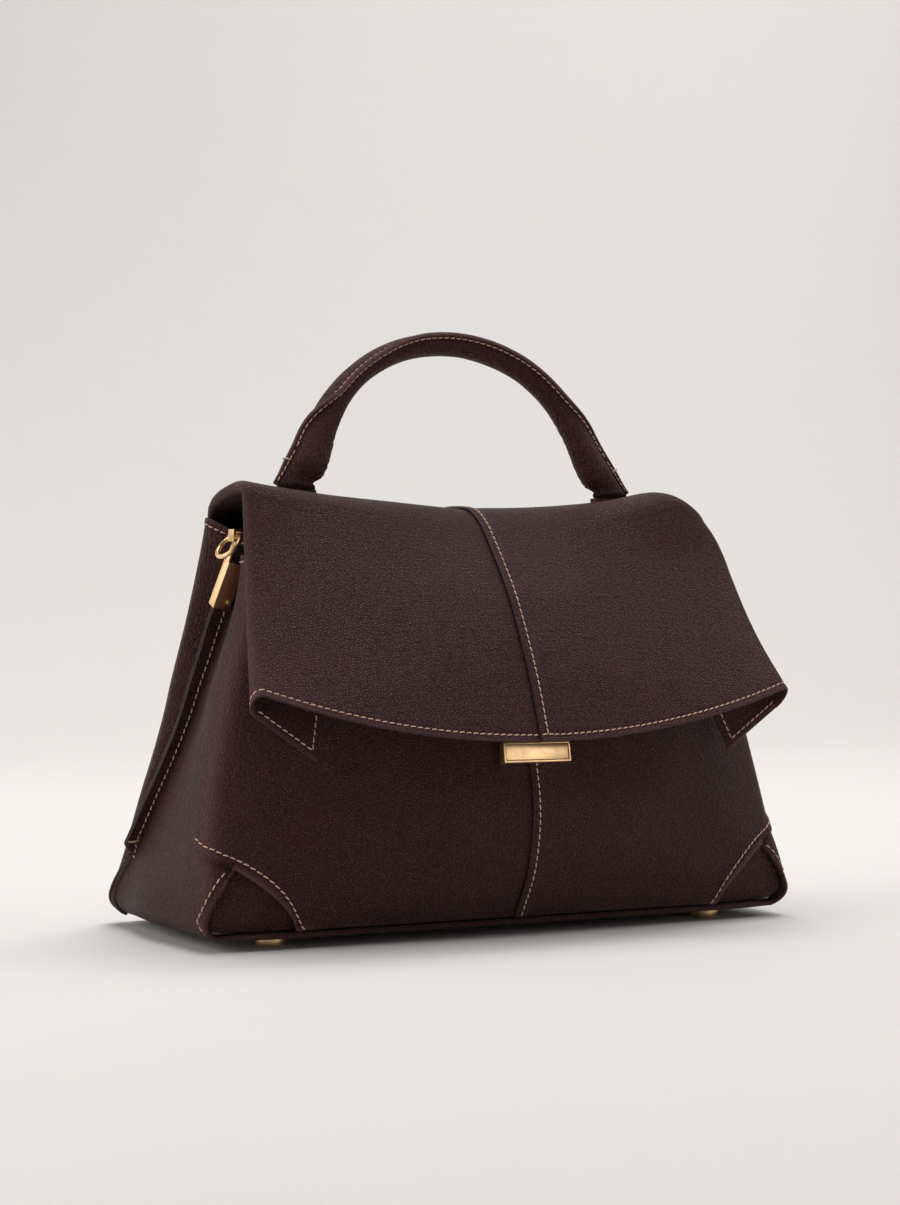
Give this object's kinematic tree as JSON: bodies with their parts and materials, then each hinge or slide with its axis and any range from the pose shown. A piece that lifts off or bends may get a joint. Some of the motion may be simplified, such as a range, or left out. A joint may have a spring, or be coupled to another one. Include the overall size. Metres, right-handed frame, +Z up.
{
  "type": "top-handle flap bag",
  "caption": "Structured top-handle bag with an overhanging flap, pinched sides with clamps and rings, a press clasp and metal feet.",
  "frame": {"origin": "on the surface the feet stand on, under the middle of the bounding box", "axes": "+X to the right along the front, +Y from the front to the back, +Z up"},
  "size_m": [0.3216, 0.1651, 0.299],
  "materials": {
    "pebbled_leather": "pebbled, semi-matt",
    "suede_lining": "suede",
    "stiffening_board": "pressed fibre board",
    "cord_core": "twisted cotton cord",
    "satin_brass": "satin"
  },
  "bodies": {
    "bag": {"back_panel_left": "pebbled_leather", "back_panel_right": "pebbled_leather", "base_board": "stiffening_board", "base_panel": "pebbled_leather", "body_lining": "suede_lining", "clamp_rivet_left": "satin_brass", "clamp_rivet_right": "satin_brass", "clasp_backplate": "satin_brass", "clasp_housing": "satin_brass", "clasp_spring": "satin_brass", "clasp_stud": "satin_brass", "corner_back_left": "pebbled_leather", "corner_back_right": "pebbled_leather", "corner_front_left": "pebbled_leather", "corner_front_right": "pebbled_leather", "foot_back_left": "satin_brass", "foot_back_right": "satin_brass", "foot_front_left": "satin_brass", "foot_front_right": "satin_brass", "front_panel_left": "pebbled_leather", "front_panel_right": "pebbled_leather", "side_clamp_left": "satin_brass", "side_clamp_right": "satin_brass", "washer_back_left": "satin_brass", "washer_back_right": "satin_brass", "washer_front_left": "satin_brass", "washer_front_right": "satin_brass"},
    "flap": {"flap_left": "pebbled_leather", "flap_right": "pebbled_leather", "flap_lining": "suede_lining", "flap_keeper": "satin_brass", "handle_patch_left": "pebbled_leather", "handle_patch_right": "pebbled_leather"},
    "handle": {"handle_cover": "pebbled_leather", "handle_core": "cord_core", "handle_tab_left": "pebbled_leather", "handle_tab_right": "pebbled_leather"},
    "ring_left": {"strap_ring_left": "satin_brass"},
    "ring_right": {"strap_ring_right": "satin_brass"},
    "button": {"clasp_button": "satin_brass"}
  },
  "joints": [
    {"name": "flap_hinge", "type": "hinge", "parent": "bag", "child": "flap", "pos_m": [0, 0.03196, 0.2013], "axis": [-1, 0, 0], "range_deg": [0, 100]},
    {"name": "handle_fold", "type": "hinge", "parent": "flap", "child": "handle", "pos_m": [0, 0.01238, 0.21819], "axis": [1, 0, 0], "range_deg": [-50, 60]},
    {"name": "ring_swing_left", "type": "hinge", "parent": "bag", "child": "ring_left", "pos_m": [-0.12265, 0.00033, 0.19207], "axis": [-0.2079, 0.9781, 0], "range_deg": [0, 100]},
    {"name": "ring_swing_right", "type": "hinge", "parent": "bag", "child": "ring_right", "pos_m": [0.12265, 0.00033, 0.19207], "axis": [-0.2079, -0.9781, 0], "range_deg": [0, 100]},
    {"name": "clasp_press", "type": "slide", "parent": "bag", "child": "button", "axis": [0, 0.9863, -0.165], "range_m": [0, 0.0012], "stiffness_N_per_m": 1500, "springref_m": -0.0004}
  ]
}
